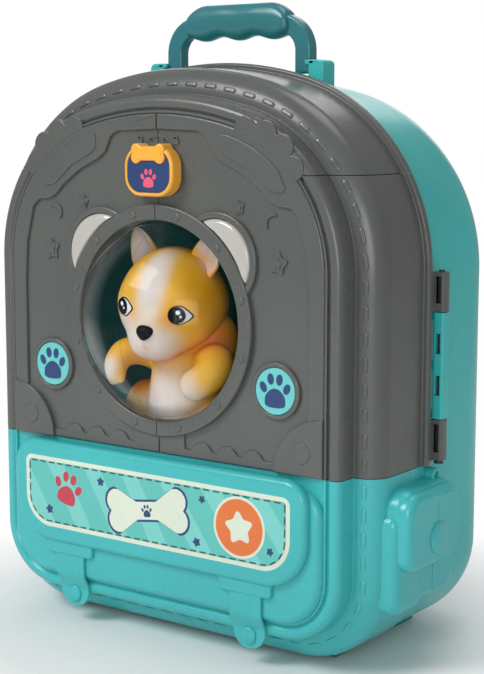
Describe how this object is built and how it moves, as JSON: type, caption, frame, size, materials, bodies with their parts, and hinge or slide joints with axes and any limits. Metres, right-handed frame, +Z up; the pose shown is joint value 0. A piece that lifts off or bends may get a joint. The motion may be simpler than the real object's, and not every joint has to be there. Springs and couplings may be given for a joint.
{
  "type": "toy vet kit carry case",
  "caption": "Rounded toy carry case with hinged double doors, a clear bubble window, a turn knob, a side pouch, a folding handle and a toy puppy inside.",
  "frame": {"origin": "on the floor under the middle of the overall box", "axes": "+Z up, the doors and the bubble face -Y, +X to the right of a viewer in front of the doors"},
  "size_m": [0.2754, 0.174, 0.3387],
  "materials": {
    "teal_shell": "satin moulded teal plastic",
    "grey_plastic": "satin moulded warm grey plastic",
    "deck_plastic": "satin dark teal plastic",
    "foot_plastic": "satin deep teal plastic",
    "steel": "plated",
    "clear_plastic": "clear polished",
    "pale_plastic": "glossy translucent pale grey",
    "badge_print": "printed disc with a dark paw",
    "label_print": "printed glossy decal",
    "orange_plastic": "glossy orange",
    "navy_plastic": "glossy navy",
    "handle_plastic": "satin dark teal",
    "golden_vinyl": "soft painted vinyl",
    "black_gloss": "glossy black"
  },
  "bodies": {
    "case": {"back_shell": "teal_shell", "lower_front": "teal_shell", "front_pocket": "teal_shell", "left_strap": "teal_shell", "right_strap": "teal_shell", "right_pouch": "teal_shell", "right_flap": "teal_shell", "strap_buttons": "teal_shell", "flap_button": "teal_shell", "label_flap": "teal_shell", "left_bracket": "teal_shell", "right_bracket": "teal_shell", "top_arch": "grey_plastic", "cabin_floor": "deck_plastic", "feet": "foot_plastic", "case_screws": "steel", "hinge_pins": "steel", "handle_pins": "steel", "label_sticker": "label_print", "puppy_body": "golden_vinyl", "puppy_head": "golden_vinyl", "puppy_eyes": "black_gloss", "puppy_nose": "black_gloss"},
    "right_leaf": {"right_door": "grey_plastic", "right_ring": "grey_plastic", "right_bubble": "clear_plastic", "right_ear": "pale_plastic", "right_paw_badge": "badge_print"},
    "left_leaf": {"left_door": "grey_plastic", "left_ring": "grey_plastic", "left_bubble": "clear_plastic", "left_ear": "pale_plastic", "left_paw_badge": "badge_print"},
    "turn_knob": {"knob": "orange_plastic", "knob_face": "navy_plastic", "knob_shaft": "orange_plastic", "latch_bar": "grey_plastic", "latch_screw": "steel"},
    "carry_handle": {"handle": "handle_plastic"}
  },
  "joints": [
    {"name": "right_door_hinge", "type": "hinge", "parent": "case", "child": "right_leaf", "pos_m": [0.12755, 0.009, 0.15], "axis": [0, 0, 1], "range_deg": [0, 110]},
    {"name": "left_door_hinge", "type": "hinge", "parent": "case", "child": "left_leaf", "pos_m": [-0.13445, 0.009, 0.15], "axis": [0, 0, -1], "range_deg": [0, 110]},
    {"name": "knob_turn", "type": "hinge", "parent": "right_leaf", "child": "turn_knob", "pos_m": [-0.00345, -0.06, 0.2505], "axis": [0, 1, 0], "range_deg": [0, 90]},
    {"name": "handle_fold", "type": "hinge", "parent": "case", "child": "carry_handle", "pos_m": [-0.00345, 0.0171, 0.30433], "axis": [-1, 0, 0], "range_deg": [0, 75]}
  ],
  "couplings": [
    {"joint": "left_door_hinge", "follows": "right_door_hinge", "ratio": 1}
  ]
}
